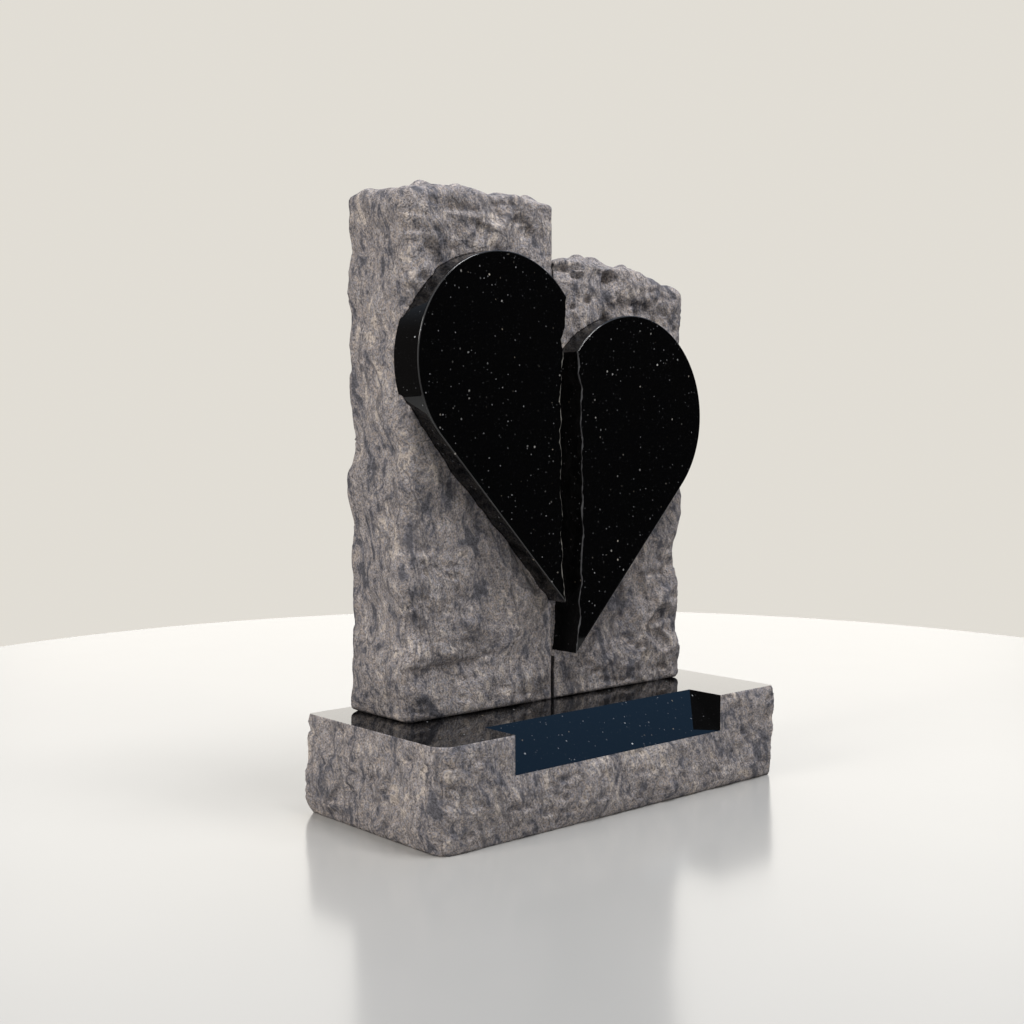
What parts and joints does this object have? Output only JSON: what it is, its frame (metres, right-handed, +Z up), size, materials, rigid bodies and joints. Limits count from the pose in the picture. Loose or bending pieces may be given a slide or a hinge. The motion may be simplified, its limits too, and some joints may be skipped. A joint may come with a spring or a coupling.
{
  "type": "heart headstone",
  "caption": "Rock-faced granite headstone: pillars of unequal height stand on a wide base with a sloping polished desk, and each carries its half of a split polished heart.",
  "frame": {"origin": "centre of the base's underside, where it stands on its foundation", "axes": "+Z up, -Y towards the front, where the heart and the desk face, +X towards the viewer's right"},
  "size_m": [0.7827, 0.3594, 1.0167],
  "materials": {
    "pitched_granite": "rock-pitched grey and tan granite",
    "polished_black_granite": "mirror-polished black granite with bright flecks"
  },
  "bodies": {
    "root": {"base": "pitched_granite", "left_pillar": "pitched_granite", "right_pillar": "pitched_granite", "left_heart_half": "polished_black_granite", "right_heart_half": "polished_black_granite"}
  },
  "joints": []
}
